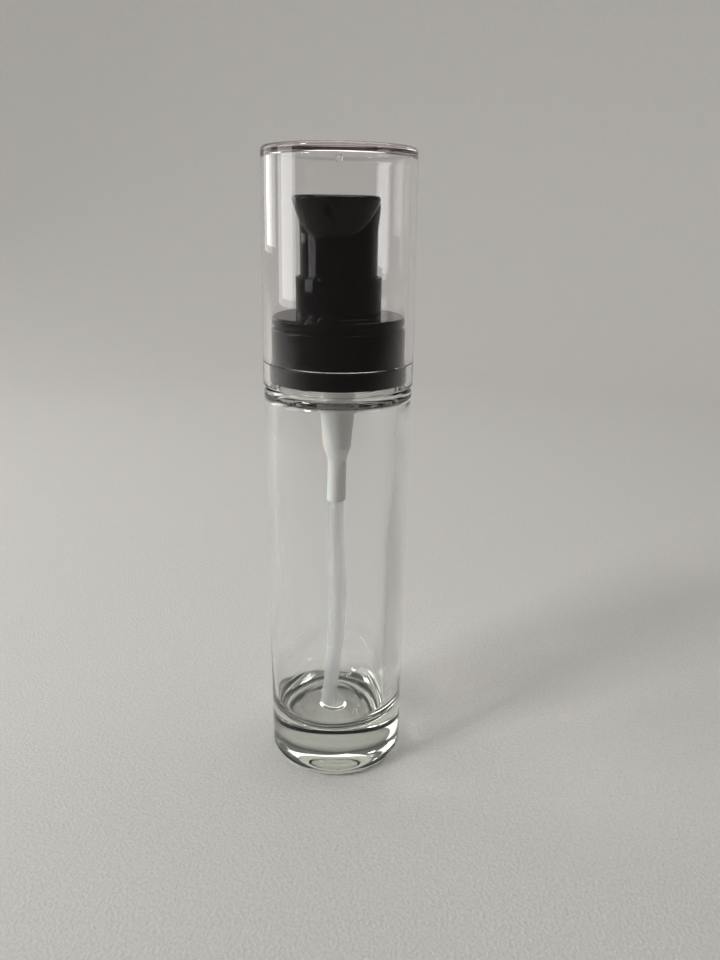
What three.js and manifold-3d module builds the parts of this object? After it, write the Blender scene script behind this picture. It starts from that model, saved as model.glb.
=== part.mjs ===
// Foundation bottle: a straight glass bottle with a push-down treatment pump and a clear overcap.
// Millimetres, +Z up. The origin is the centre of the ring that the bottle stands on, every
// round piece turns about the Z axis, and the spout points along -Y.

import * as THREE from 'three';
import { mergeVertices } from 'three/addons/utils/BufferGeometryUtils.js';
import Module from 'manifold-3d';

const wasm = await Module();
wasm.setup();

// ---------------------------------------------------------------- driving dimensions

const ROUND = 32; // sides of a round piece
const GAP = 0.3; // clearance between two pieces that bear on each other

const GLASS_R = 15; // bottle outside
const GLASS_WALL = 2.45;
const SHOULDER_Z = 86.1; // top of the glass shoulder
const FLOOR_Z = 9.7; // inside floor of the bottle
const NECK_ROOT_R = 8.85; // 20 mm screw finish
const NECK_CREST_R = 9.85;
const NECK_BORE_R = 7.2;
const NECK_TOP_Z = 95;
const PITCH = 3.175;
const THREAD_START_Z = 88.9; // middle of the neck thread at its lower end
const THREAD_TURNS = 1.5;

const GASKET_THICK = 0.8;
const FLANGE_THICK = 0.8; // top flange of the pump housing
const CLOSURE_TOP_THICK = 1;
const CLOSURE_R = 11.2;
const CLOSURE_BORE_R = 10.25;
const CLOSURE_CREST_R = 9.25;

const COLLAR_BOTTOM_Z = 87.4;
const COLLAR_STEP_Z = 90.8; // top of the wide foot of the collar
const COLLAR_TOP_Z = 97.9;
const COLLAR_FOOT_R = 13.84;
const COLLAR_R = 13.32;
const COLLAR_BORE_R = 12.2;

const DISC_R = 13.15; // top disc of the guide sleeve
const DISC_TOP_Z = 100;
const SLEEVE_R = 8.45;
const SLEEVE_BORE_R = 7.85;
const SLEEVE_TOP_Z = 107.4;

const CHAMBER_R = 2.6; // dosing chamber
const SPRING_SEAT_Z = 74.1;
const SOCKET_STEP_Z = 93; // the chamber widens here for the housing cap
const SOCKET_R = 3.55;
const SPIGOT_R = 2.2;
const SPIGOT_BOTTOM_Z = 61;
const TUBE_R = 1.8;
const TUBE_BORE_R = 1.25;
const TUBE_TOP_Z = 67.4;
const VENT_Z = 93.9; // hole that lets air in as liquid leaves

const STEM_R = 1.85;
const STEM_BORE_R = 1.1;
const STEM_TOP_Z = 112;
const BALL_R = 1.2;
const BALL_Z = 71.45;
const WIRE_R = 0.25;
const SPRING_R = 2.15; // mean radius of the coil
const SPRING_TURNS = 7;
const PISTON_BOTTOM_Z = 87.6;
const PISTON_TOP_Z = 92.1;

const HEAD_R = 7.53;
const HEAD_BOTTOM_Z = 105.7;
const HEAD_TOP_Z = 122;
const REST_DEPTH = 1.4; // depth of the finger rest, a trough across the head
const REST_Y = 3; // middle of the trough, behind the head's axis
const REST_HALF_WIDTH = 5.5;
const REST_ROOT_Z = 116; // the wall below here keeps its plain height
const BEAK_REACH = 2.1; // how far the spout stands out past the round head
const BEAK_HALF_ANGLE = 1.4; // radians each way from -Y
const BEAK_FOOT_Z = 114.5;
const BEAK_HEIGHT = 6.5;
const ORIFICE_Z = 119.2;
const ORIFICE_R = 0.8;

const CAP_BOTTOM_Z = 86.5;
const CAP_TOP_Z = 130.4;
const CAP_FOOT_R = 15.18;
const CAP_HEAD_R = 14.6;
const CAP_WALL = 1.4;
const CAP_TOP_THICK = 1.4;

const GASKET_Z = NECK_TOP_Z + GAP;
const FLANGE_Z = GASKET_Z + GASKET_THICK + GAP;
const FLANGE_TOP_Z = FLANGE_Z + FLANGE_THICK;
const CLOSURE_TOP_Z = FLANGE_TOP_Z + GAP + CLOSURE_TOP_THICK;

// ---------------------------------------------------------------- helpers

// Points of an arc about (r, z), angles in degrees measured from the outward radius.
function arc(r, z, radius, from, to, steps) {
  const points = [];
  for (let i = 0; i <= steps; i += 1) {
    const angle = THREE.MathUtils.degToRad(from + ((to - from) * i) / steps);
    points.push([r + radius * Math.cos(angle), z + radius * Math.sin(angle)]);
  }
  return points;
}

// A quarter of an ellipse from (r0, z0), where it is level, to (r1, z1), where it is upright.
function sweepUp(r0, z0, r1, z1, steps) {
  const points = [];
  for (let i = 0; i <= steps; i += 1) {
    const angle = (Math.PI / 2) * (i / steps);
    points.push([r0 + (r1 - r0) * Math.sin(angle), z1 - (z1 - z0) * Math.cos(angle)]);
  }
  return points;
}

// Turns an outline of [radius, height] about Z. It runs anticlockwise, as seen with Z up.
function lathe(outline, sides = ROUND) {
  const geometry = new THREE.LatheGeometry(outline.map(([r, z]) => new THREE.Vector2(r, z)), sides);
  return weld(geometry.rotateX(Math.PI / 2));
}

// The same for a ring, whose outline closes on itself.
function ring(outline, sides = ROUND) {
  return lathe([...outline, outline[0]], sides);
}

// Merges shared corners and drops the triangles that a pole or a seam leaves without area.
function weld(source) {
  const bare = source.clone();
  bare.deleteAttribute('normal');
  bare.deleteAttribute('uv');
  const merged = mergeVertices(bare, 1e-4);
  const index = merged.getIndex().array;
  const kept = [];
  for (let i = 0; i < index.length; i += 3) {
    const [a, b, c] = index.slice(i, i + 3);
    if (a !== b && b !== c && c !== a) kept.push(a, b, c);
  }
  merged.setIndex(kept);
  return merged;
}

function solid(geometry) {
  const clean = weld(geometry);
  const vertProperties = new Float32Array(clean.getAttribute('position').array);
  const triVerts = new Uint32Array(clean.getIndex().array);
  return new wasm.Manifold(new wasm.Mesh({ numProp: 3, vertProperties, triVerts }));
}

function geometryOf(body) {
  const mesh = body.getMesh();
  const geometry = new THREE.BufferGeometry();
  geometry.setAttribute('position', new THREE.BufferAttribute(mesh.vertProperties, 3));
  geometry.setIndex(Array.from(mesh.triVerts));
  return geometry;
}

// A thread ridge: a bar wrapped round Z along a helix, sunk into its wall, thinned at both ends.
// depth is how far the crest stands off the wall, negative for a thread inside a bore.
function thread(wallR, depth, startZ, turns, rootWidth, crestWidth) {
  const steps = Math.round(turns * ROUND);
  const bar = new THREE.BoxGeometry(1, 1, 1, steps, 1, 1);
  const position = bar.getAttribute('position');
  const sink = 0.25 * Math.sign(depth);
  for (let i = 0; i < position.count; i += 1) {
    const along = position.getX(i) + 0.5;
    const isCrest = position.getY(i) * Math.sign(depth) < 0;
    const taper = Math.min(1, along * turns * 6, (1 - along) * turns * 6) * 0.9 + 0.1;
    const width = isCrest ? crestWidth : rootWidth;
    const radius = wallR + (isCrest ? depth * taper : -sink);
    const angle = along * turns * 2 * Math.PI;
    const z = startZ + along * turns * PITCH + position.getZ(i) * width;
    position.setXYZ(i, radius * Math.cos(angle), radius * Math.sin(angle), z);
  }
  return bar;
}

function plastic(color, roughness = 0.35) {
  return new THREE.MeshStandardMaterial({ color, roughness, metalness: 0 });
}

function metal(color, roughness = 0.25) {
  return new THREE.MeshStandardMaterial({ color, roughness, metalness: 1 });
}

function clear(color, opacity) {
  return new THREE.MeshStandardMaterial({
    color,
    opacity,
    roughness: 0.05,
    metalness: 0,
    transparent: true,
  });
}

const BLACK = plastic(0x0c0b0b, 0.12);
const WHITE = plastic(0xf0efec, 0.4);
const MILKY = plastic(0xdfe3e2, 0.45);

function part(name, geometry, material) {
  const mesh = new THREE.Mesh(geometry, material.clone());
  mesh.name = name;
  return mesh;
}

// ---------------------------------------------------------------- glass bottle

function glassBottle() {
  const inside = GLASS_R - GLASS_WALL;
  const underside = [[0, 0.8], [5, 0.7], [9, 0.35], [11.1, 0]];
  const heel = arc(GLASS_R - 1.8, 1.8, 1.8, -90, 0, 4);
  const shoulder = arc(GLASS_R - 1.1, SHOULDER_Z - 1.3, 1.1, 0, 80, 4);
  const neck = [
    [NECK_ROOT_R + 1, SHOULDER_Z],
    [NECK_ROOT_R, SHOULDER_Z + 0.8],
    [NECK_ROOT_R, NECK_TOP_Z - 0.4],
    [NECK_ROOT_R - 0.4, NECK_TOP_Z],
    [NECK_BORE_R + 0.3, NECK_TOP_Z],
    [NECK_BORE_R, NECK_TOP_Z - 0.3],
  ];
  const innerShoulder = [
    [NECK_BORE_R, SHOULDER_Z - 1],
    [NECK_BORE_R + 0.6, SHOULDER_Z - 1.6],
    [inside - 1.2, SHOULDER_Z - 2],
    [inside - 0.3, SHOULDER_Z - 2.5],
    [inside, SHOULDER_Z - 3.4],
  ];
  const floor = [
    ...sweepUp(7.2, FLOOR_Z, inside, FLOOR_Z + 5, 5).reverse(),
    [3.2, FLOOR_Z],
    [2.4, FLOOR_Z + 0.4],
    [0, FLOOR_Z + 0.5],
  ];
  const body = solid(lathe([...underside, ...heel, ...shoulder, ...neck, ...innerShoulder, ...floor]));
  const depth = NECK_CREST_R - NECK_ROOT_R;
  const ridge = solid(thread(NECK_ROOT_R, depth, THREAD_START_Z, THREAD_TURNS, 1.6, 0.8));
  return part('glass_bottle', geometryOf(body.add(ridge)), clear(0xdfeae2, 0.35));
}

// ---------------------------------------------------------------- closure and collar

// The threaded inner cap, whose ridge lies half a pitch above the ridge on the neck.
function screwClosure() {
  const holeR = 6.5;
  const wall = solid(ring([
    [CLOSURE_BORE_R, 87.3],
    [CLOSURE_R, 87.3],
    [CLOSURE_R, CLOSURE_TOP_Z - 0.4],
    [CLOSURE_R - 0.4, CLOSURE_TOP_Z],
    [holeR, CLOSURE_TOP_Z],
    [holeR, FLANGE_TOP_Z + GAP],
    [CLOSURE_BORE_R, FLANGE_TOP_Z + GAP],
  ]));
  const depth = CLOSURE_CREST_R - CLOSURE_BORE_R;
  const startZ = THREAD_START_Z + PITCH / 2;
  const ridge = solid(thread(CLOSURE_BORE_R, depth, startZ, 1.2, 1.6, 0.8));
  return part('screw_closure', geometryOf(wall.add(ridge)), plastic(0x1a1a1a, 0.4));
}

// The visible black collar: a wide foot that the overcap sits on and a plain skirt.
function collarShell() {
  const round = 0.7;
  return part('collar_shell', ring([
    [COLLAR_BORE_R, COLLAR_BOTTOM_Z],
    [COLLAR_FOOT_R - 0.15, COLLAR_BOTTOM_Z],
    [COLLAR_FOOT_R, COLLAR_BOTTOM_Z + 0.15],
    [COLLAR_FOOT_R, COLLAR_STEP_Z - 0.15],
    [COLLAR_FOOT_R - 0.15, COLLAR_STEP_Z],
    [COLLAR_R, COLLAR_STEP_Z],
    ...arc(COLLAR_R - round, COLLAR_TOP_Z - round, round, 0, 90, 3),
    [COLLAR_BORE_R, COLLAR_TOP_Z],
  ]), BLACK);
}

// Disc and chimney that guide the head, with a hidden skirt between the closure and the collar.
function guideSleeve() {
  const skirtR = COLLAR_BORE_R - GAP;
  const skirtBoreR = CLOSURE_R + GAP;
  const grooveR = DISC_R - 0.4;
  const grooveZ = COLLAR_TOP_Z + GAP;
  const underDiscZ = CLOSURE_TOP_Z + GAP;
  return part('guide_sleeve', ring([
    [skirtBoreR, 92],
    [skirtR, 92],
    [skirtR, grooveZ],
    [grooveR, grooveZ],
    [grooveR, grooveZ + 0.4],
    [DISC_R, grooveZ + 0.4],
    [DISC_R, DISC_TOP_Z - 0.2],
    [DISC_R - 0.2, DISC_TOP_Z],
    [SLEEVE_R, DISC_TOP_Z],
    [SLEEVE_R, SLEEVE_TOP_Z - 0.35],
    [SLEEVE_R - 0.3, SLEEVE_TOP_Z],
    [SLEEVE_BORE_R, SLEEVE_TOP_Z],
    [SLEEVE_BORE_R, underDiscZ],
    [skirtBoreR, underDiscZ],
  ]), BLACK);
}

// ---------------------------------------------------------------- pump body

function neckGasket() {
  return part('neck_gasket', ring([
    [4.7, GASKET_Z],
    [9, GASKET_Z],
    [9, GASKET_Z + GASKET_THICK],
    [4.7, GASKET_Z + GASKET_THICK],
  ]), plastic(0xe6e4dd, 0.8));
}

// Spigot for the dip tube, valve seat with its snap lip, dosing chamber, and top flange.
function pumpHousing() {
  const outside = [
    [TUBE_R + 0.08, SPIGOT_BOTTOM_Z],
    [SPIGOT_R - 0.12, SPIGOT_BOTTOM_Z],
    [SPIGOT_R, SPIGOT_BOTTOM_Z + 0.3],
    [SPIGOT_R, 70.3],
    [3.27, 73.2],
    [3.62, 82],
    [4.1, 82.3],
    [4.3, FLANGE_Z],
    [8.9, FLANGE_Z],
    [8.9, FLANGE_TOP_Z],
  ];
  const inside = [
    [SOCKET_R, FLANGE_TOP_Z],
    [SOCKET_R, SOCKET_STEP_Z],
    [CHAMBER_R, SOCKET_STEP_Z],
    [CHAMBER_R, SPRING_SEAT_Z],
    [BALL_R - 0.1, SPRING_SEAT_Z],
    [BALL_R - 0.1, SPRING_SEAT_Z - 0.4],
    [BALL_R + 0.45, SPRING_SEAT_Z - 0.6],
    [BALL_R + 0.45, 71.4],
    [0.9, 70.5],
    [0.9, TUBE_TOP_Z + 0.4],
    [TUBE_R + 0.08, TUBE_TOP_Z + 0.4],
  ];
  const vent = new THREE.CylinderGeometry(0.45, 0.45, 6, 10).translate(0, 3, VENT_Z);
  const housing = solid(ring([...outside, ...inside])).subtract(solid(vent));
  return part('pump_housing', geometryOf(housing), WHITE);
}

// Plug that closes the housing, stops the piston and guides the stem.
function housingCap() {
  const plugR = SOCKET_R - 0.15;
  const boreR = STEM_R + 0.15;
  const flangeZ = FLANGE_TOP_Z + GAP;
  return part('housing_cap', ring([
    [boreR, SOCKET_STEP_Z + GAP],
    [plugR, SOCKET_STEP_Z + GAP],
    [plugR, flangeZ],
    [6.2, flangeZ],
    [6.2, flangeZ + 0.8],
    [3.3, flangeZ + 0.8],
    [3.3, 100.6],
    [boreR, 100.6],
  ]), WHITE);
}

// Straight out of the spigot, then a slow bend to one side, cut off just above the floor.
function dipTube() {
  const path = new THREE.CatmullRomCurve3([
    new THREE.Vector3(0, 0, TUBE_TOP_Z),
    new THREE.Vector3(0, 0, 60),
    new THREE.Vector3(0.3, 0.03, 50),
    new THREE.Vector3(0.45, 0.05, 40),
    new THREE.Vector3(0.1, 0, 28),
    new THREE.Vector3(-0.75, -0.17, 18),
    new THREE.Vector3(-1.65, -0.37, FLOOR_Z + 1.1),
  ]);
  const section = new THREE.Shape().absarc(0, 0, TUBE_R, 0, 2 * Math.PI);
  section.holes.push(new THREE.Path().absarc(0, 0, TUBE_BORE_R, 0, 2 * Math.PI));
  const options = { extrudePath: path, steps: 18, curveSegments: 6 };
  return part('dip_tube', weld(new THREE.ExtrudeGeometry(section, options)), MILKY);
}

// ---------------------------------------------------------------- moving pump parts

// Hollow rod that the head presses on, with a shoulder that pushes the piston.
function stem() {
  const shoulderZ = PISTON_TOP_Z + GAP;
  return part('stem', ring([
    [STEM_BORE_R, 88],
    [STEM_R, 88],
    [STEM_R, shoulderZ],
    [2.4, shoulderZ],
    [2.4, shoulderZ + 0.6],
    [STEM_R, shoulderZ + 0.6],
    [STEM_R, STEM_TOP_Z - 0.3],
    [STEM_R - 0.25, STEM_TOP_Z],
    [STEM_BORE_R, STEM_TOP_Z],
  ]), WHITE);
}

// Wiper piston: a sleeve on the stem with a lip at each end that seals in the chamber.
function piston() {
  const lipR = CHAMBER_R - 0.05;
  const waistR = 2.3;
  const boreR = STEM_R + 0.07;
  return part('piston', ring([
    [boreR, PISTON_BOTTOM_Z],
    [lipR, PISTON_BOTTOM_Z],
    [waistR, PISTON_BOTTOM_Z + 1],
    [waistR, PISTON_TOP_Z - 1],
    [lipR, PISTON_TOP_Z],
    [boreR, PISTON_TOP_Z],
  ]), MILKY);
}

// Discharge valve: a head under the piston and a fluted shank pushed up into the stem.
function valveRod() {
  const headZ = PISTON_BOTTOM_Z - GAP;
  const head = lathe([
    [0, 82.5],
    [0.9, 82.5],
    [1.5, 83.4],
    [1.5, headZ - 1],
    [2.3, headZ - 1],
    [2.3, headZ - 0.2],
    [1.9, headZ],
    [0, headZ],
  ]);
  const web = 0.35;
  const reach = STEM_BORE_R - 0.1;
  const blade = (width, depth) => new THREE.BoxGeometry(width, depth, 8).translate(0, 0, headZ + 3.9);
  const shank = solid(blade(2 * reach, web)).add(solid(blade(web, 2 * reach)));
  return part('valve_rod', geometryOf(solid(head).add(shank)), WHITE);
}

function returnSpring() {
  const bottomZ = SPRING_SEAT_Z + GAP + WIRE_R;
  const topZ = PISTON_BOTTOM_Z - GAP - 1 - GAP - WIRE_R;
  class Coil extends THREE.Curve {
    getPoint(t) {
      const angle = t * SPRING_TURNS * 2 * Math.PI;
      const z = THREE.MathUtils.lerp(bottomZ, topZ, t);
      return new THREE.Vector3(SPRING_R * Math.cos(angle), SPRING_R * Math.sin(angle), z);
    }
  }
  const section = new THREE.Shape().absarc(0, 0, WIRE_R, 0, 2 * Math.PI);
  const options = { extrudePath: new Coil(), steps: SPRING_TURNS * 12, curveSegments: 3 };
  return part('return_spring', weld(new THREE.ExtrudeGeometry(section, options)), metal(0xc8ccd0));
}

function inletBall() {
  const ball = new THREE.SphereGeometry(BALL_R, 16, 12).rotateX(Math.PI / 2).translate(0, 0, BALL_Z);
  return part('inlet_ball', weld(ball), metal(0xd5d8da, 0.1));
}

// ---------------------------------------------------------------- pump head

// Height of the lower edge of the spout's face, at an angle from -Y: a U that opens upwards.
function beakEdge(angle) {
  return BEAK_FOOT_Z + (BEAK_HEIGHT + 0.5) * Math.abs(angle / BEAK_HALF_ANGLE) ** 2.3;
}

// Pushes the plain turned head out into the spout and presses the finger rest into its top.
function shapeHead(geometry) {
  const position = geometry.getAttribute('position');
  for (let i = 0; i < position.count; i += 1) {
    const x = position.getX(i);
    const y = position.getY(i);
    const z = position.getZ(i);
    const rise = THREE.MathUtils.clamp((z - beakEdge(Math.atan2(x, -y))) / BEAK_HEIGHT, 0, 1);
    const reach = 1 + (BEAK_REACH * rise) / HEAD_R;
    const dip = REST_DEPTH * Math.max(0, 1 - ((y - REST_Y) / REST_HALF_WIDTH) ** 2);
    const share = Math.max(0, (z - REST_ROOT_Z) / (HEAD_TOP_Z - REST_ROOT_Z));
    position.setXYZ(i, x * reach, y * reach, z - share * dip);
  }
  return geometry;
}

function actuator() {
  const plainWallZ = [112, 114.3, 115.2, 116.4];
  const outline = [
    [0, HEAD_BOTTOM_Z],
    [HEAD_R - 0.2, HEAD_BOTTOM_Z],
    [HEAD_R, HEAD_BOTTOM_Z + 0.2],
    ...plainWallZ.map((z) => [HEAD_R, z]),
    [HEAD_R + 0.1, 118],
    [HEAD_R + 0.35, 119.6],
    [HEAD_R + 0.4, HEAD_TOP_Z - 1.6],
    [HEAD_R + 0.05, HEAD_TOP_Z - 0.6],
    [HEAD_R - 1.1, HEAD_TOP_Z],
    [5, HEAD_TOP_Z],
    [2.5, HEAD_TOP_Z],
    [0, HEAD_TOP_Z],
  ];
  const bossR = 3.2;
  const bossBottomZ = 107.3;
  const roofZ = 117.4;
  const socketR = STEM_R + 0.08;
  const hollow = ring([
    [bossR, bossBottomZ],
    [bossR, HEAD_BOTTOM_Z - 1],
    [HEAD_R - 1.1, HEAD_BOTTOM_Z - 1],
    [HEAD_R - 1.3, roofZ],
    [bossR, roofZ],
  ]);
  const socket = lathe([
    [0, HEAD_BOTTOM_Z - 1],
    [bossR + 0.01, HEAD_BOTTOM_Z - 1],
    [bossR + 0.01, bossBottomZ],
    [socketR, bossBottomZ],
    [socketR, STEM_TOP_Z + GAP],
    [ORIFICE_R, STEM_TOP_Z + GAP],
    [ORIFICE_R, ORIFICE_Z],
    [0, ORIFICE_Z],
  ]);
  const reach = 12;
  const duct = new THREE.CylinderGeometry(ORIFICE_R, ORIFICE_R, reach, 16);
  duct.translate(0, -reach / 2, ORIFICE_Z);
  const head = solid(shapeHead(lathe(outline)))
    .subtract(solid(hollow))
    .subtract(solid(socket))
    .subtract(solid(duct));
  return part('actuator', geometryOf(head), BLACK);
}

// ---------------------------------------------------------------- overcap

// Clear cap: it fits over the collar's foot, steps in above it, and has a gate nub under its top.
function overcap() {
  const ledgeZ = COLLAR_STEP_Z + GAP;
  const footBoreR = COLLAR_FOOT_R + 0.15;
  const underTopZ = CAP_TOP_Z - CAP_TOP_THICK;
  return part('overcap', lathe([
    [0, underTopZ - 1.2],
    [0.5, underTopZ - 1.1],
    [0.7, underTopZ],
    ...arc(CAP_HEAD_R - CAP_WALL - 0.6, underTopZ - 0.6, 0.6, 90, 0, 2),
    [COLLAR_R + 0.23, ledgeZ],
    [footBoreR, ledgeZ],
    [footBoreR, CAP_BOTTOM_Z],
    [CAP_FOOT_R - 0.15, CAP_BOTTOM_Z],
    [CAP_FOOT_R, CAP_BOTTOM_Z + 0.15],
    ...arc(CAP_HEAD_R - 0.9, CAP_TOP_Z - 0.9, 0.9, 4, 90, 4),
    [0, CAP_TOP_Z],
  ]), clear(0xf3e9ec, 0.25));
}

// ---------------------------------------------------------------- assembly

const bottle = new THREE.Group();

const pumpUnit = new THREE.Group();
pumpUnit.add(neckGasket(), pumpHousing(), housingCap(), dipTube(), returnSpring(), inletBall());

const closure = new THREE.Group();
closure.add(screwClosure(), collarShell(), guideSleeve());

const head = new THREE.Group();
head.add(actuator(), stem(), valveRod(), piston());

bottle.add(glassBottle(), pumpUnit, closure, head, overcap());

export default bottle;
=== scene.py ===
"""Looks of the foundation bottle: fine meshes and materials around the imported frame."""

import math

import bmesh
import bpy
from mathutils import Matrix, Vector, noise


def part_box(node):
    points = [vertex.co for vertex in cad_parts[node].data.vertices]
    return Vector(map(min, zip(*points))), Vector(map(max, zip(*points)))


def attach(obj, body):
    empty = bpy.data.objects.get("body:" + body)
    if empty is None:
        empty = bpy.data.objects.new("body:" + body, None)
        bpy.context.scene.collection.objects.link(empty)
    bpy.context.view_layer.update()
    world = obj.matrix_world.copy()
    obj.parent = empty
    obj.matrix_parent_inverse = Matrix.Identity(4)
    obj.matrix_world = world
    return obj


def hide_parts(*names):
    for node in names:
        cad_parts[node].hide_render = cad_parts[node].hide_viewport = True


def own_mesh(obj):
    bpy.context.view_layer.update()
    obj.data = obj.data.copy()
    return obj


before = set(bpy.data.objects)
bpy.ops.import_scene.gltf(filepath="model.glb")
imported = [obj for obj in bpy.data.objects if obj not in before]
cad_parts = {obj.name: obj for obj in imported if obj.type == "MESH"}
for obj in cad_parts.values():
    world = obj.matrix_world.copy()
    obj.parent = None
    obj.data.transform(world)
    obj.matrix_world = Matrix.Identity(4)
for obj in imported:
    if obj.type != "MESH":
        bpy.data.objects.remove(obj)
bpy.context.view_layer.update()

MM = 0.001
SIDES = 160  # sides of a turned piece
FILLET_STEP = 12  # degrees of turn for each facet of a fillet
HOLD = 0.06  # mm from a fillet to the loop that keeps the flat beside it flat


# ---------------------------------------------------------------- sizes in mm, from the frame


def top_of(node):
    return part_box(node)[1].z / MM


def bottom_of(node):
    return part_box(node)[0].z / MM


def radius_of(node):
    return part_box(node)[1].x / MM


GLASS_R = radius_of("glass_bottle")
GLASS_WALL = 2.45
NECK_TOP = top_of("glass_bottle")
SHOULDER = 86.1
FLOOR = 9.7
PITCH = 3.175
COLLAR_R = 13.32
COLLAR_FOOT_R = 13.84
COLLAR_BORE_R = 12.2
COLLAR_STEP = 90.8
DISC_TOP = 100
SLEEVE_R = 8.45
SLEEVE_BORE_R = 7.85
CHAMBER_R = 2.6
SPRING_SEAT = 74.1
TUBE_R = 1.8
TUBE_BORE_R = 1.25
STEM_R = 1.85
HEAD_R = 7.53
HEAD_TOP = 122
CAP_HEAD_R = 14.6
CAP_WALL = 1.4


# ---------------------------------------------------------------- mesh helpers


def new_object(name, mesh):
    piece = bpy.data.objects.new(name, mesh)
    bpy.context.scene.collection.objects.link(piece)
    return piece


def arc(r, z, radius, start, end, steps):
    """Points of an arc about (r, z), in degrees from the outward radius."""
    angles = [math.radians(start + (end - start) * i / steps) for i in range(steps + 1)]
    return [(r + radius * math.cos(a), z + radius * math.sin(a)) for a in angles]


def sweep_up(r0, z0, r1, z1, steps):
    """A quarter of an ellipse, level at (r0, z0) and upright at (r1, z1)."""
    angles = [math.pi / 2 * i / steps for i in range(steps + 1)]
    return [(r0 + (r1 - r0) * math.sin(a), z1 - (z1 - z0) * math.cos(a)) for a in angles]


def fillet(before, corner, after, radius):
    """The arc that rounds a corner, with a holding point on the straight at each end."""
    to_before = before - corner
    to_after = after - corner
    half = to_before.angle(to_after) / 2
    reach = min(radius / math.tan(half), 0.48 * to_before.length, 0.48 * to_after.length)
    radius = reach * math.tan(half)
    start = corner + to_before.normalized() * reach
    end = corner + to_after.normalized() * reach
    middle = (to_before.normalized() + to_after.normalized()).normalized()
    centre = corner + middle * (radius / math.sin(half))
    turn = math.pi - 2 * half
    steps = max(2, math.ceil(math.degrees(turn) / FILLET_STEP))
    sign = 1 if (start - centre).cross(end - centre) > 0 else -1
    spoke = start - centre
    points = []
    for i in range(steps + 1):
        a = sign * turn * i / steps
        turned_spoke = Vector((
            spoke.x * math.cos(a) - spoke.y * math.sin(a),
            spoke.x * math.sin(a) + spoke.y * math.cos(a),
        ))
        points.append(centre + turned_spoke)
    if to_before.length > reach + 3 * HOLD:
        points.insert(0, start + to_before.normalized() * HOLD)
    if to_after.length > reach + 3 * HOLD:
        points.append(end + to_after.normalized() * HOLD)
    return points


def rounded(corners, is_ring):
    """An outline through (radius, height) or (radius, height, fillet) corners."""
    places = [Vector(c[:2]) for c in corners]
    outline = []
    for i, corner in enumerate(corners):
        is_end = not is_ring and i in (0, len(corners) - 1)
        if len(corner) < 3 or is_end:
            outline.append(places[i])
        else:
            after = places[(i + 1) % len(places)]
            outline += fillet(places[i - 1], places[i], after, corner[2])
    return [(p.x, p.y) for p in outline]


def turned(name, outline, shape=None, sides=SIDES):
    """Turns an outline about Z. It ends on the axis at both ends, or it is a ring's outline."""
    verts = []
    rows = []
    for r, z in outline:
        count = 1 if r < 1e-6 else sides
        rows.append([len(verts) + i % count for i in range(sides)])
        for i in range(count):
            a = 2 * math.pi * i / sides
            point = (r * math.cos(a), r * math.sin(a), z)
            point = shape(*point) if shape else point
            verts.append([c * MM for c in point])
    faces = []
    is_ring = outline[0][0] > 1e-6
    pairs = list(zip(rows, rows[1:] + rows[:1])) if is_ring else list(zip(rows, rows[1:]))
    for low, high in pairs:
        for i in range(sides):
            j = (i + 1) % sides
            face = [low[i], low[j], high[j], high[i]]
            faces.append(list(dict.fromkeys(face)))
    return finished(name, verts, faces)


def finished(name, verts, faces):
    """A smooth-shaded object whose faces point out and whose sharp edges stay sharp."""
    mesh = bpy.data.meshes.new(name)
    mesh.from_pydata(verts, [], faces)
    work = bmesh.new()
    work.from_mesh(mesh)
    bmesh.ops.recalc_face_normals(work, faces=work.faces)
    work.to_mesh(mesh)
    work.free()
    smooth(mesh)
    return new_object(name, mesh)


def smooth(mesh, angle=38):
    mesh.shade_smooth()
    mesh.set_sharp_from_angle(angle=math.radians(angle))


def bore(piece, cutter):
    """Cuts one mesh out of another and removes the cutter."""
    cut = piece.modifiers.new("cut", "BOOLEAN")
    cut.operation = "DIFFERENCE"
    cut.solver = "EXACT"
    cut.object = cutter
    bpy.context.view_layer.update()
    evaluated = piece.evaluated_get(bpy.context.evaluated_depsgraph_get())
    mesh = bpy.data.meshes.new_from_object(evaluated)
    piece.modifiers.clear()
    piece.data = mesh
    smooth(mesh)
    bpy.data.objects.remove(cutter)
    return piece


def spline(points, count):
    """A smooth curve through given points, as count + 1 evenly timed places."""
    places = [Vector(p) for p in points]
    padded = [2 * places[0] - places[1], *places, 2 * places[-1] - places[-2]]
    found = []
    for i in range(count + 1):
        t = i / count * (len(places) - 1)
        k = min(int(t), len(places) - 2)
        u = t - k
        p0, p1, p2, p3 = padded[k:k + 4]
        found.append(0.5 * (
            2 * p1
            + (p2 - p0) * u
            + (2 * p0 - 5 * p1 + 4 * p2 - p3) * u ** 2
            + (3 * p1 - p0 - 3 * p2 + p3) * u ** 3
        ))
    return found


def swept(name, path, loops, sides, end_cut=None):
    """Sweeps round loops, given as radii, along a path: one radius is a wire, two are a tube."""
    verts = []
    rows = []
    side = Vector((1, 0, 0))
    for i, centre in enumerate(path):
        ahead = path[min(i + 1, len(path) - 1)] - path[max(i - 1, 0)]
        ahead.normalize()
        side = (side - ahead * side.dot(ahead)).normalized()
        other = ahead.cross(side)
        row = []
        for radius in loops:
            row.append([len(verts) + k for k in range(sides)])
            for k in range(sides):
                a = 2 * math.pi * k / sides
                spot = centre + radius * (side * math.cos(a) + other * math.sin(a))
                if end_cut and i == len(path) - 1:
                    spot = end_cut(spot)
                verts.append(spot * MM)
        rows.append(row)
    faces = []
    for low, high in zip(rows, rows[1:]):
        for inner in range(len(loops)):
            for k in range(sides):
                m = (k + 1) % sides
                faces.append([low[inner][k], low[inner][m], high[inner][m], high[inner][k]])
    for row in (rows[0], rows[-1]):
        if len(loops) == 1:
            faces.append(row[0])
        else:
            for k in range(sides):
                m = (k + 1) % sides
                faces.append([row[0][k], row[0][m], row[1][m], row[1][k]])
    return finished(name, verts, faces)


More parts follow.
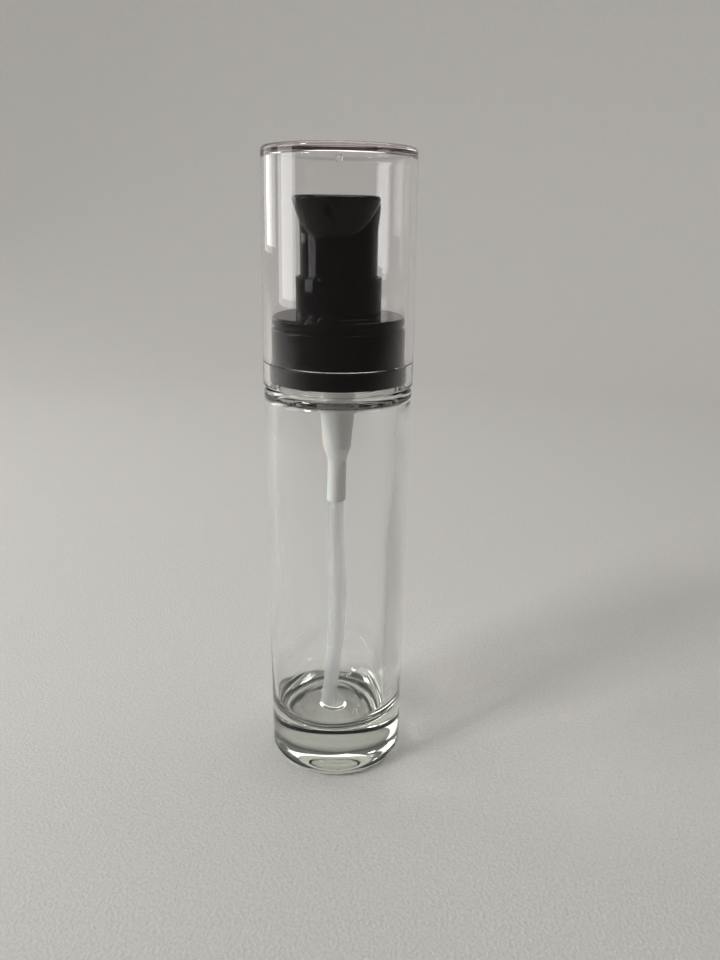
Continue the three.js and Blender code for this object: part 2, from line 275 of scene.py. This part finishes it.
def place(piece, node, body, material):
    """Puts a finished piece in the frame: what it stands for, what it moves with, its finish."""
    piece.data.materials.clear()
    piece.data.materials.append(material)
    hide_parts(node)
    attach(piece, body)
    return piece


# ---------------------------------------------------------------- materials


def new_material(name, **inputs):
    """A Principled material; each input is a socket's name with _ for a space."""
    material = bpy.data.materials.new(name)
    material.use_nodes = True
    shader = material.node_tree.nodes["Principled BSDF"]
    for key, value in inputs.items():
        shader.inputs[key.replace("_", " ")].default_value = value
    return material, material.node_tree, shader


def link(tree, source, target):
    tree.links.new(source, target)


def noise_of(tree, scale, detail=3, stretch=(1, 1, 1)):
    """Noise in the object's own place, so many waves to the metre, stretched along an axis."""
    coordinates = tree.nodes.new("ShaderNodeTexCoord")
    mapping = tree.nodes.new("ShaderNodeMapping")
    mapping.inputs["Scale"].default_value = stretch
    texture = tree.nodes.new("ShaderNodeTexNoise")
    texture.inputs["Scale"].default_value = scale
    texture.inputs["Detail"].default_value = detail
    link(tree, coordinates.outputs["Object"], mapping.inputs["Vector"])
    link(tree, mapping.outputs["Vector"], texture.inputs["Vector"])
    return texture.outputs["Fac"]


def spread(tree, source, low, high):
    """Maps the middle of a noise to a range."""
    ramp = tree.nodes.new("ShaderNodeMapRange")
    ramp.inputs["From Min"].default_value = 0.3
    ramp.inputs["From Max"].default_value = 0.7
    ramp.inputs["To Min"].default_value = low
    ramp.inputs["To Max"].default_value = high
    link(tree, source, ramp.inputs["Value"])
    return ramp.outputs["Result"]


def two_tone(tree, source, dark, light):
    ramp = tree.nodes.new("ShaderNodeValToRGB")
    ramp.color_ramp.elements[0].position = 0.3
    ramp.color_ramp.elements[0].color = (*dark, 1)
    ramp.color_ramp.elements[1].position = 0.7
    ramp.color_ramp.elements[1].color = (*light, 1)
    link(tree, source, ramp.inputs["Fac"])
    return ramp.outputs["Color"]


def bump(tree, shader, source, depth, strength=1.0):
    """Raises the surface by a noise, depth in metres."""
    node = tree.nodes.new("ShaderNodeBump")
    node.inputs["Distance"].default_value = depth
    node.inputs["Strength"].default_value = strength
    link(tree, source, node.inputs["Height"])
    link(tree, node.outputs["Normal"], shader.inputs["Normal"])


def tint(tree, colour, density):
    """Colours the light that passes inside, the more the thicker the wall is."""
    absorb = tree.nodes.new("ShaderNodeVolumeAbsorption")
    absorb.inputs["Color"].default_value = (*colour, 1)
    absorb.inputs["Density"].default_value = density
    link(tree, absorb.outputs["Volume"], tree.nodes["Material Output"].inputs["Volume"])


def clear_glass():
    """Clear glass with a long soft ripple and a faint green edge."""
    material, tree, shader = new_material(
        "clear_glass", Base_Color=(1, 1, 1, 1), Roughness=0.0, IOR=1.51,
        Transmission_Weight=1.0,
    )
    ripple = noise_of(tree, scale=90, detail=1, stretch=(1, 1, 0.35))
    bump(tree, shader, ripple, depth=0.00003)
    tint(tree, colour=(0.56, 0.72, 0.42), density=9)
    return material


def clear_plastic():
    """Clear plastic with fine lines along its draw and a faint pink edge."""
    material, tree, shader = new_material(
        "clear_plastic", Base_Color=(1, 1, 1, 1), Roughness=0.0, IOR=1.5,
        Transmission_Weight=1.0,
    )
    draw_lines = noise_of(tree, scale=220, detail=2, stretch=(1, 1, 0.03))
    bump(tree, shader, draw_lines, depth=0.00001)
    tint(tree, colour=(0.85, 0.4, 0.5), density=8)
    return material


def black_gloss():
    material, tree, shader = new_material("black_gloss", IOR=1.46, Specular_IOR_Level=0.18)
    # painted reflection: faint bluish and brownish streaks in the base colour stand for the room
    # reflected in the gloss
    bluish = (0.0002, 0.0006, 0.0012)
    brownish = (0.007, 0.0027, 0.0023)
    painted_reflection_streaks = noise_of(tree, scale=240, detail=2, stretch=(1, 1, 0.08))
    link(tree, two_tone(tree, painted_reflection_streaks, bluish, brownish), shader.inputs["Base Color"])
    roughness = spread(tree, noise_of(tree, scale=900, detail=4), 0.02, 0.05)
    link(tree, roughness, shader.inputs["Roughness"])
    waviness = noise_of(tree, scale=130, detail=2, stretch=(1, 1, 0.4))
    bump(tree, shader, waviness, depth=0.00002)
    return material


def moulded(name, dark, light, roughness, grain=1400, **inputs):
    """Satin moulded plastic: faint mottling, a range of roughness and a fine grain."""
    material, tree, shader = new_material(name, **inputs)
    mottling = noise_of(tree, scale=300, detail=3)
    link(tree, two_tone(tree, mottling, dark, light), shader.inputs["Base Color"])
    gloss_patches = noise_of(tree, scale=800, detail=4)
    link(tree, spread(tree, gloss_patches, *roughness), shader.inputs["Roughness"])
    bump(tree, shader, noise_of(tree, grain, detail=3), depth=0.00001)
    return material


def white_plastic():
    return moulded(
        "white_plastic", dark=(0.93, 0.925, 0.91), light=(0.97, 0.965, 0.955),
        roughness=(0.28, 0.4), Subsurface_Weight=0.2, Subsurface_Scale=0.001,
    )


def milky_plastic():
    material, tree, shader = new_material("milky_plastic", IOR=1.4, Alpha=0.3)
    cloud = noise_of(tree, scale=250, detail=2, stretch=(1, 1, 0.3))
    link(tree, two_tone(tree, cloud, (0.93, 0.95, 0.96), (0.98, 0.99, 0.99)),
         shader.inputs["Base Color"])
    link(tree, spread(tree, cloud, 0.22, 0.3), shader.inputs["Roughness"])
    return material


def black_inner():
    return moulded(
        "black_inner", dark=(0.01, 0.01, 0.01), light=(0.02, 0.02, 0.02), roughness=(0.35, 0.5),
    )


def foam():
    return moulded(
        "foam", dark=(0.66, 0.65, 0.6), light=(0.8, 0.79, 0.74), roughness=(0.8, 0.95),
        grain=2500,
    )


def steel(name, grain_stretch):
    material, tree, shader = new_material(name, Metallic=1.0)
    drawn = noise_of(tree, scale=1500, detail=3, stretch=grain_stretch)
    link(tree, two_tone(tree, drawn, (0.5, 0.51, 0.53), (0.68, 0.69, 0.7)),
         shader.inputs["Base Color"])
    link(tree, spread(tree, drawn, 0.16, 0.32), shader.inputs["Roughness"])
    return material


# ---------------------------------------------------------------- glass bottle

INSIDE_R = GLASS_R - GLASS_WALL
NECK_ROOT_R = 8.85
THREAD_DEPTH = 1
THREAD_START = 88.9
THREAD_TURNS = 1.5
THREAD_RUN_IN = 6  # the ridge reaches its full depth in one sixth of a turn
THREAD_HALF_ROOT = 0.95
THREAD_FLANK = 0.45
CAVITY_SHIFT = Vector((-0.5, -0.1))  # the blown cavity sits slightly off the outside's axis
WALL_WAVE = 0.5  # and its wall is slightly uneven
WAVE_ACROSS = 9  # mm over which the unevenness changes, across the bottle
WAVE_ALONG = 26  # and along it
SHAPE_FADE = 8  # mm under the shoulder over which the shift and the unevenness fade out


def thread_height(turn, z):
    """Height of the neck thread's ridge at a turn, counted from its start, and a height."""
    height = 0
    for whole in (0, 1):
        along = turn + whole
        if along > THREAD_TURNS:
            continue
        ends = min(1, along * THREAD_RUN_IN, (THREAD_TURNS - along) * THREAD_RUN_IN)
        off = abs(z - THREAD_START - along * PITCH)
        flank = min(1, max(0, (THREAD_HALF_ROOT - off) / THREAD_FLANK))
        height = max(height, THREAD_DEPTH * ends * flank * flank * (3 - 2 * flank))
    return height


def glass_shape(x, y, z):
    """Adds the neck thread, and moves the cavity off the axis with a slightly uneven wall."""
    r = math.hypot(x, y)
    if abs(r - NECK_ROOT_R) < 0.01:
        turn = (math.atan2(y, x) / (2 * math.pi)) % 1
        grown = (r + thread_height(turn, z)) / r
        return x * grown, y * grown, z
    if FLOOR - 1 < z < SHOULDER - 1 and r < INSIDE_R + 0.1:
        share = min(1, (SHOULDER - 1 - z) / SHAPE_FADE)
        unevenness = noise.noise(Vector((x / WAVE_ACROSS, y / WAVE_ACROSS, z / WAVE_ALONG)))
        wave = WALL_WAVE * unevenness * share * (r / INSIDE_R) ** 8
        grown = 1 + wave / max(r, 1)
        return x * grown + CAVITY_SHIFT.x * share, y * grown + CAVITY_SHIFT.y * share, z
    return x, y, z


def glass_bottle():
    foot_r = 11.1
    rise = 0.8
    count = 16
    neck_bore_r = 7.2
    thread_low = 88
    row_step = 0.12  # between the rows that carry the thread's ridge
    under_shoulder = 4  # the bend over the cavity's straight wall
    both_bends = 9.2  # with the bend up from the floor
    underside = [
        (foot_r * i / count, rise * (0.5 + 0.5 * math.cos(math.pi * (i / count) ** 1.3)))
        for i in range(count)
    ]
    outside = rounded([
        (foot_r, 0),
        (GLASS_R, 0, 1.8),
        (GLASS_R, SHOULDER - 0.25, 1.2),
        (NECK_ROOT_R, SHOULDER, 0.9),
        (NECK_ROOT_R, thread_low),
    ], False)
    thread_rows = [(NECK_ROOT_R, thread_low + 0.02 + row_step * i) for i in range(57)]
    lip = rounded([
        (NECK_ROOT_R, NECK_TOP - 0.2),
        (NECK_ROOT_R - 0.02, NECK_TOP, 0.5),
        (neck_bore_r, NECK_TOP, 0.5),
        (neck_bore_r, SHOULDER - 1.5, 0.8),
        (INSIDE_R, SHOULDER - 2.1, 1.2),
        (INSIDE_R, SHOULDER - under_shoulder),
    ], False)
    wall_count = 60  # rows down the cavity's wall, for its unevenness
    wall_step = (SHOULDER - FLOOR - both_bends) / wall_count
    wall_rows = [
        (INSIDE_R, SHOULDER - under_shoulder - i * wall_step) for i in range(1, wall_count + 1)
    ]
    curve = sweep_up(7.4, FLOOR, INSIDE_R, FLOOR + 5, steps=14)
    ring_mark = [(7.2, FLOOR), (6.95, FLOOR - 0.12), (6.7, FLOOR - 0.14), (6.4, FLOOR - 0.02)]
    dimple = rounded([
        (3.3, FLOOR),
        (3.1, FLOOR, 0.15),
        (2.5, FLOOR + 0.4, 0.4),
        (0, FLOOR + 0.45),
    ], False)
    floor = [*reversed(curve), *ring_mark, (6.2, FLOOR), *dimple]
    outline = [*underside, *outside, *thread_rows, *lip, *wall_rows, *floor]
    piece = turned("glass_bottle_fine", outline, glass_shape)
    return place(piece, "glass_bottle", "bottle", clear_glass())


# ---------------------------------------------------------------- overcap


def overcap():
    foot_r = radius_of("overcap")
    low = bottom_of("overcap")
    high = top_of("overcap")
    top_thick = 1.4
    under = high - top_thick
    ledge = COLLAR_STEP + 0.3
    foot_bore_r = COLLAR_FOOT_R + 0.15
    pip_low = under - 1.2
    outline = rounded([
        (0, pip_low),
        (0.55, pip_low, 0.25),
        (0.7, under, 0.3),
        (CAP_HEAD_R - CAP_WALL, under, 0.6),
        (COLLAR_R + 0.23, ledge, 0.12),
        (foot_bore_r, ledge, 0.1),
        (foot_bore_r, low, 0.12),
        (foot_r, low, 0.25),
        (CAP_HEAD_R, high, 0.85),
        (0, high),
    ], False)
    piece = turned("overcap_fine", outline)
    return place(piece, "overcap", "overcap", clear_plastic())


# ---------------------------------------------------------------- black collar and sleeve


def collar_shell(material):
    low = bottom_of("collar_shell")
    high = top_of("collar_shell")
    outline = rounded([
        (COLLAR_BORE_R, low, 0.1),
        (COLLAR_FOOT_R, low, 0.2),
        (COLLAR_FOOT_R, COLLAR_STEP, 0.25),
        (COLLAR_R, COLLAR_STEP, 0.1),
        (COLLAR_R, high, 0.7),
        (COLLAR_BORE_R, high, 0.15),
    ], True)
    return place(turned("collar_shell_fine", outline), "collar_shell", "closure",
                 material)


def guide_sleeve(material):
    groove = top_of("collar_shell") + 0.3
    disc_r = radius_of("guide_sleeve")
    high = top_of("guide_sleeve")
    skirt_r = COLLAR_BORE_R - 0.3
    skirt_bore_r = 11.5
    skirt_low = bottom_of("guide_sleeve")
    under_disc = 98.8
    lip_r = disc_r - 0.4
    disc_low = groove + 0.4
    outline = rounded([
        (skirt_bore_r, skirt_low, 0.1),
        (skirt_r, skirt_low, 0.1),
        (skirt_r, groove, 0.05),
        (lip_r, groove, 0.05),
        (lip_r, disc_low, 0.1),
        (disc_r, disc_low, 0.15),
        (disc_r, DISC_TOP, 0.45),
        (SLEEVE_R, DISC_TOP, 0.25),
        (SLEEVE_R, high, 0.4),
        (SLEEVE_BORE_R, high, 0.15),
        (SLEEVE_BORE_R, under_disc, 0.1),
        (skirt_bore_r, under_disc, 0.1),
    ], True)
    return place(turned("guide_sleeve_fine", outline), "guide_sleeve", "closure",
                 material)


def screw_closure():
    low = bottom_of("screw_closure")
    high = top_of("screw_closure")
    bore_r = 10.25
    outside_r = 11.2
    hole_r = 6.5
    under_top = high - 1
    outline = rounded([
        (bore_r, low, 0.2),
        (outside_r, low, 0.2),
        (outside_r, high, 0.4),
        (hole_r, high, 0.15),
        (hole_r, under_top, 0.15),
        (bore_r, under_top, 0.3),
    ], True)
    return place(turned("screw_closure_fine", outline), "screw_closure", "closure",
                 black_inner())


# ---------------------------------------------------------------- pump head

WALL_LOW = 106.3
FLARE_LOW = 113.6
FLARE = 0.4
RIM = 0.9
BEAK_FOOT = 114.5
BEAK_HEIGHT = 6.5
BEAK_REACH = 2.1
BEAK_HALF_ANGLE = 1.4
BEAK_STEP = 0.35  # the face stands this far proud all along its U-shaped edge
REST_ROOT = 116
REST_DEPTH = 1.4
REST_Y = 3
REST_HALF_WIDTH = 5.5
ORIFICE = 119.2
ORIFICE_R = 0.8


def smoothstep(value, low, high):
    t = min(1, max(0, (value - low) / (high - low)))
    return t * t * (3 - 2 * t)


def head_shape(x, y, z):
    """Pushes the turned head out into the spout and presses the finger rest into its top."""
    r = math.hypot(x, y)
    if r < HEAD_R - 0.7 and z < HEAD_TOP - 4:
        return x, y, z
    front = math.atan2(x, -y)
    edge = BEAK_FOOT + (BEAK_HEIGHT + 0.5) * abs(front / BEAK_HALF_ANGLE) ** 2.3
    rise = min(1, max(0, (z - edge) / BEAK_HEIGHT))
    out = BEAK_STEP * smoothstep(z, edge - 0.05, edge + 0.3) + (BEAK_REACH - BEAK_STEP) * rise
    reach = 1 + out / HEAD_R
    across = min(1, abs(y - REST_Y) / REST_HALF_WIDTH)
    dip = REST_DEPTH * (1 - across ** 2) ** 1.5
    share = max(0, (z - REST_ROOT) / (HEAD_TOP - REST_ROOT))
    return x * reach, y * reach, z - share * dip


def actuator(material):
    low = bottom_of("actuator")
    socket_r = 1.93  # the socket takes the stem
    socket_low = 107.3
    socket_high = 112.3
    boss_r = 3.2
    ceiling = 117.2
    wall = [(HEAD_R, WALL_LOW + 1.2 * i) for i in range(6)]
    flare = []
    rows = 44
    for i in range(rows + 1):
        z = FLARE_LOW + (HEAD_TOP - RIM - FLARE_LOW) * i / rows
        flare.append((HEAD_R + FLARE * smoothstep(z, 115, 121), z))
    rim_r = flare[-1][0] - 0.85
    rim = arc(rim_r, HEAD_TOP - RIM, RIM, start=0, end=90, steps=8)[1:]
    rings = 14
    top = [(rim_r * (1 - i / rings), HEAD_TOP) for i in range(1, rings + 1)]
    hollow = rounded([
        (0, socket_high),
        (socket_r, socket_high),
        (socket_r, socket_low, 0.2),
        (boss_r, socket_low, 0.2),
        (boss_r, ceiling, 0.3),
        (6.2, ceiling, 0.5),
        (6.43, low, 0.15),
        (HEAD_R, low, 0.2),
        (HEAD_R, WALL_LOW),
    ], False)
    outline = [*hollow[:-1], *wall, *flare, *rim, *top]
    piece = turned("actuator_fine", outline, head_shape, sides=192)
    reach = 12
    bar = [(0, -reach), (ORIFICE_R, -reach), (ORIFICE_R, 0), (0, 0)]
    duct = turned("duct", bar, sides=48)
    duct.data.transform(Matrix.Rotation(math.radians(-90), 4, "X"))
    duct.data.transform(Matrix.Translation((0, 0, ORIFICE * MM)))
    bore(piece, duct)
    return place(piece, "actuator", "head", material)


# ---------------------------------------------------------------- pump body


def pump_housing(material):
    low = bottom_of("pump_housing")
    high = top_of("pump_housing")
    spigot_bore_r = TUBE_R + 0.08
    spigot_r = 2.2
    tube_stop = 67.8
    flange_r = 8.9
    flange_low = high - 0.8
    plug_bore_r = 3.55
    chamber_top = 93
    snap_r = 1.1  # the lip that keeps the ball in its pocket
    pocket_r = 1.65
    inlet_r = 0.9
    outline = rounded([
        (spigot_bore_r, low, 0.05),
        (spigot_r, low, 0.3),
        (spigot_r, 70.3, 0.6),
        (3.27, 73.2, 0.8),
        (3.62, 82, 0.1),
        (4.1, 82.3, 0.2),
        (4.3, flange_low, 0.2),
        (flange_r, flange_low, 0.1),
        (flange_r, high, 0.1),
        (plug_bore_r, high, 0.1),
        (plug_bore_r, chamber_top, 0.05),
        (CHAMBER_R, chamber_top, 0.1),
        (CHAMBER_R, SPRING_SEAT, 0.1),
        (snap_r, SPRING_SEAT, 0.08),
        (snap_r, SPRING_SEAT - 0.4, 0.08),
        (pocket_r, SPRING_SEAT - 0.6, 0.05),
        (pocket_r, 71.4, 0.05),
        (inlet_r, 70.5, 0.05),
        (inlet_r, tube_stop, 0.05),
        (spigot_bore_r, tube_stop, 0.05),
    ], True)
    return place(turned("pump_housing_fine", outline, sides=96), "pump_housing", "pump_unit",
                 material)


def housing_cap(material):
    low = bottom_of("housing_cap")
    high = top_of("housing_cap")
    bore_r = 2
    plug_r = 3.4
    flange_r = 6.2
    flange_low = 97.5
    flange_high = 98.3
    boss_r = 3.3
    outline = rounded([
        (bore_r, low, 0.1),
        (plug_r, low, 0.15),
        (plug_r, flange_low, 0.1),
        (flange_r, flange_low, 0.15),
        (flange_r, flange_high, 0.15),
        (boss_r, flange_high, 0.3),
        (boss_r, high, 0.25),
        (bore_r, high, 0.15),
    ], True)
    return place(turned("housing_cap_fine", outline, sides=96), "housing_cap", "pump_unit",
                 material)


def neck_gasket():
    low = bottom_of("neck_gasket")
    high = top_of("neck_gasket")
    hole_r = 4.7
    edge_r = 9
    outline = rounded([
        (hole_r, low, 0.1),
        (edge_r, low, 0.1),
        (edge_r, high, 0.1),
        (hole_r, high, 0.1),
    ], True)
    return place(turned("neck_gasket_fine", outline, sides=96), "neck_gasket", "pump_unit",
                 foam())


def dip_tube(material):
    high = top_of("dip_tube")
    path = spline([
        (0, 0, high),
        (0, 0, 60),
        (0.3, 0.03, 50),
        (0.45, 0.05, 40),
        (0.1, 0, 28),
        (-0.75, -0.17, 18),
        (-1.65, -0.37, FLOOR + 1.1),
    ], count=72)
    slope = 0.3

    def cut(spot):
        """The end is cut across at a slant, lowest towards the front."""
        return spot + Vector((0, 0, slope * (spot.y - path[-1].y) - 0.1))

    piece = swept("dip_tube_fine", path, (TUBE_R, TUBE_BORE_R), sides=48, end_cut=cut)
    return place(piece, "dip_tube", "pump_unit", material)


# ---------------------------------------------------------------- moving inner pieces


def stem(material):
    low = bottom_of("stem")
    high = top_of("stem")
    bore_r = 1.1
    shoulder_r = 2.4  # the shoulder pushes the piston down
    shoulder_low = 92.4
    shoulder_high = 93
    outline = rounded([
        (bore_r, low, 0.1),
        (STEM_R, low, 0.1),
        (STEM_R, shoulder_low, 0.05),
        (shoulder_r, shoulder_low, 0.1),
        (shoulder_r, shoulder_high, 0.1),
        (STEM_R, shoulder_high, 0.1),
        (STEM_R, high, 0.3),
        (bore_r, high, 0.1),
    ], True)
    return place(turned("stem_fine", outline, sides=64), "stem", "head",
                 material)


def piston(material):
    low = bottom_of("piston")
    high = top_of("piston")
    bore_r = 1.92
    wiper_r = 2.55
    waist_r = 2.3
    outline = rounded([
        (bore_r, low, 0.1),
        (wiper_r, low, 0.05),
        (waist_r, low + 1, 0.4),
        (waist_r, high - 1, 0.4),
        (wiper_r, high, 0.05),
        (bore_r, high, 0.1),
    ], True)
    return place(turned("piston_fine", outline, sides=64), "piston", "plunger",
                 material)


def valve_rod(material):
    """A turned head with a shank of four flutes, which the liquid runs along."""
    low = bottom_of("valve_rod")
    head = 87.3
    high = top_of("valve_rod")
    pilot_r = 1.5
    head_r = 2.3
    shank_r = 1
    under_head = head - 1
    rows = 12
    shank = [(shank_r, head + 0.02 + i * (high - head - 0.3) / rows) for i in range(rows + 1)]
    outline = rounded([
        (0, low),
        (0.9, low, 0.2),
        (pilot_r, low + 0.9, 0.2),
        (pilot_r, under_head, 0.1),
        (head_r, under_head, 0.1),
        (head_r, head - 0.2, 0.1),
        (1.9, head, 0.1),
        (shank_r, head),
    ], False)
    flute_depth = 0.62  # of the shank's radius

    def flutes(x, y, z):
        if z <= head + 0.01 or math.hypot(x, y) < 0.5:
            return x, y, z
        depth = flute_depth * abs(math.sin(2 * math.atan2(y, x))) ** 0.6
        return x * (1 - depth), y * (1 - depth), z

    whole = [*outline, *shank, (0.8, high), (0, high)]
    piece = turned("valve_rod_fine", whole, flutes, sides=64)
    return place(piece, "valve_rod", "head", material)


def return_spring():
    """A compression spring whose end turns lie flat."""
    low = bottom_of("return_spring")
    high = top_of("return_spring")
    wire = 0.25
    coil_r = 2.15
    turns = 7
    count = turns * 36
    even_share = 0.12  # of the climb; the rest eases in and out, so that the end turns lie flat
    path = []
    for i in range(count + 1):
        t = i / count
        a = 2 * math.pi * turns * t
        climb = even_share * t + (1 - even_share) * smoothstep(t, -0.1, 1.1)
        z = low + wire + (high - low - 2 * wire) * climb
        path.append(Vector((coil_r * math.cos(a), coil_r * math.sin(a), z)))
    piece = swept("return_spring_fine", path, (wire,), sides=12)
    place(piece, "return_spring", "pump_unit", steel("spring_steel", (1, 1, 1)))
    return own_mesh(piece)


def inlet_ball():
    low = bottom_of("inlet_ball")
    high = top_of("inlet_ball")
    radius = (high - low) / 2
    outline = arc(0, (low + high) / 2, radius, start=-90, end=90, steps=32)
    outline[0] = (0, low)
    outline[-1] = (0, high)
    return place(turned("inlet_ball_fine", outline, sides=64), "inlet_ball", "inlet_ball",
                 steel("ball_steel", (1, 1, 6)))


# ---------------------------------------------------------------- stage, lights and camera


def sweep_paper():
    """Pale paper with a fine tooth round and behind the bottle. Far from there, in front and at
    the sides, it is painted a deeper grey, a painted shade for an unlit room, so that the gloss
    black has something dark to reflect."""
    pale_centre = (-0.08, 0.48, 0)
    pale_to = 0.5  # metres from the pale centre
    # painted shade: away from the pale centre the paper's colour darkens to this grey, standing
    # for unlit surroundings
    painted_shade_from = 0.9
    painted_shade_grey = (0.13, 0.126, 0.122)
    material, tree, shader = new_material("sweep_paper", Roughness=0.9)
    tooth = noise_of(tree, scale=1500, detail=4)
    pale = two_tone(tree, tooth, (0.59, 0.58, 0.56), (0.67, 0.66, 0.64))
    coordinates = tree.nodes.new("ShaderNodeTexCoord")
    away = tree.nodes.new("ShaderNodeVectorMath")
    away.operation = "DISTANCE"
    away.inputs[1].default_value = pale_centre
    link(tree, coordinates.outputs["Object"], away.inputs[0])
    far = tree.nodes.new("ShaderNodeMapRange")
    far.interpolation_type = "SMOOTHSTEP"
    far.inputs["From Min"].default_value = pale_to
    far.inputs["From Max"].default_value = painted_shade_from
    link(tree, away.outputs["Value"], far.inputs["Value"])
    graded = tree.nodes.new("ShaderNodeMix")
    graded.data_type = "RGBA"
    factor, first_colour, second_colour, mixed_colour = 0, 6, 7, 2  # this node's sockets
    link(tree, far.outputs["Result"], graded.inputs[factor])
    link(tree, pale, graded.inputs[first_colour])
    graded.inputs[second_colour].default_value = (*painted_shade_grey, 1)
    link(tree, graded.outputs[mixed_colour], shader.inputs["Base Color"])
    bump(tree, shader, tooth, depth=0.0003, strength=0.7)
    return material


def stage():
    """A round paper sweep: a flat floor that rises into a wall all round, open above."""
    flat = 420
    bend = 330
    wall = 800
    outline = [(r, 0) for r in (0, 15, 40, 90, 180, flat)]
    outline += arc(flat, bend, bend, start=-90, end=0, steps=24)[1:]
    outline.append((flat + bend, wall))
    verts = []
    faces = []
    sides = 128
    for r, z in outline:
        for i in range(sides):
            a = 2 * math.pi * i / sides
            verts.append((r * MM * math.cos(a), r * MM * math.sin(a), z * MM))
    for k in range(len(outline) - 1):
        for i in range(sides):
            j = (i + 1) % sides
            low = k * sides
            faces.append([low + i, low + j, low + sides + j, low + sides + i])
    mesh = bpy.data.meshes.new("sweep")
    mesh.from_pydata(verts, [], faces)
    mesh.shade_smooth()
    floor = new_object("sweep", mesh)
    mesh.materials.append(sweep_paper())


def area_light(name, place_at, target, size, power, colour=(1, 1, 1)):
    """A rectangular light in metres and watts, aimed at a target and unseen by the camera."""
    data = bpy.data.lights.new(name, "AREA")
    data.shape = "RECTANGLE"
    data.size = size[0]
    data.size_y = size[1]
    data.energy = power
    data.color = colour
    light = bpy.data.objects.new(name, data)
    bpy.context.scene.collection.objects.link(light)
    light.location = place_at
    aim = Vector(target) - Vector(place_at)
    light.rotation_euler = aim.to_track_quat("-Z", "Y").to_euler()
    light.visible_camera = False


def lights():
    """A key high on the left, a window and a lit wall at the left, a ceiling and a dim room."""
    warm = (1, 0.98, 0.95)
    area_light(
        "key", place_at=(-0.42, -0.38, 0.56), target=(0, 0, 0.05),
        size=(0.14, 0.14), power=1.75, colour=(1, 0.99, 0.97),
    )
    area_light(
        "window", place_at=(-0.522, -0.18, 0.285), target=(0, 0, 0.285),
        size=(0.27, 0.47), power=1.35,
    )
    area_light(
        "left_wall", place_at=(-0.54, 0.23, 0.3), target=(0, 0, 0.3),
        size=(0.27, 0.42), power=0.5, colour=warm,
    )
    area_light(
        "ceiling", place_at=(0.05, 0.22, 0.82), target=(0.02, 0.14, 0),
        size=(0.8, 0.6), power=2.9, colour=warm,
    )
    world = bpy.data.worlds.new("studio")
    bpy.context.scene.world = world
    world.use_nodes = True
    back = world.node_tree.nodes["Background"]
    back.inputs["Color"].default_value = (1, 0.98, 0.97, 1)
    back.inputs["Strength"].default_value = 0.14


def camera():
    """The photograph's viewpoint: close, just under the cap's top, looking down at the foot."""
    turn = math.radians(12)
    distance = 0.152
    height = 0.119
    pitch = math.radians(19.46)
    yaw = math.radians(1.80)
    roll = math.radians(-0.91)
    data = bpy.data.cameras.new("camera")
    data.sensor_width = 36
    data.lens = 28.33125
    data.clip_start = 0.01
    view = bpy.data.objects.new("camera", data)
    bpy.context.scene.collection.objects.link(view)
    spot = Vector((distance * math.sin(turn), -distance * math.cos(turn), height))
    heading = Matrix.Rotation(turn - yaw, 4, "Z")
    tilt = Matrix.Rotation(math.pi / 2 - pitch, 4, "X")
    lean = Matrix.Rotation(-roll, 4, "Z")
    view.matrix_world = Matrix.Translation(spot) @ heading @ tilt @ lean
    bpy.context.scene.camera = view


def render_settings():
    """Plain colours, and enough bounces to see through the cap and both walls of the glass."""
    scene = bpy.context.scene
    scene.view_settings.view_transform = "Standard"
    scene.view_settings.look = "None"
    scene.cycles.sample_clamp_indirect = 0
    scene.cycles.blur_glossy = 0
    scene.cycles.max_bounces = 24
    scene.cycles.transmission_bounces = 20
    scene.cycles.glossy_bounces = 8
    scene.cycles.transparent_max_bounces = 16


# ---------------------------------------------------------------- the bottle

camera()
lights()
stage()
render_settings()

gloss = black_gloss()
white = white_plastic()
milky = milky_plastic()

glass_bottle()
overcap()
collar_shell(gloss)
guide_sleeve(gloss)
screw_closure()
actuator(gloss)
pump_housing(white)
housing_cap(white)
neck_gasket()
dip_tube(milky)
stem(white)
piston(milky)
valve_rod(white)
return_spring()
inlet_ball()

bpy.context.view_layer.update()
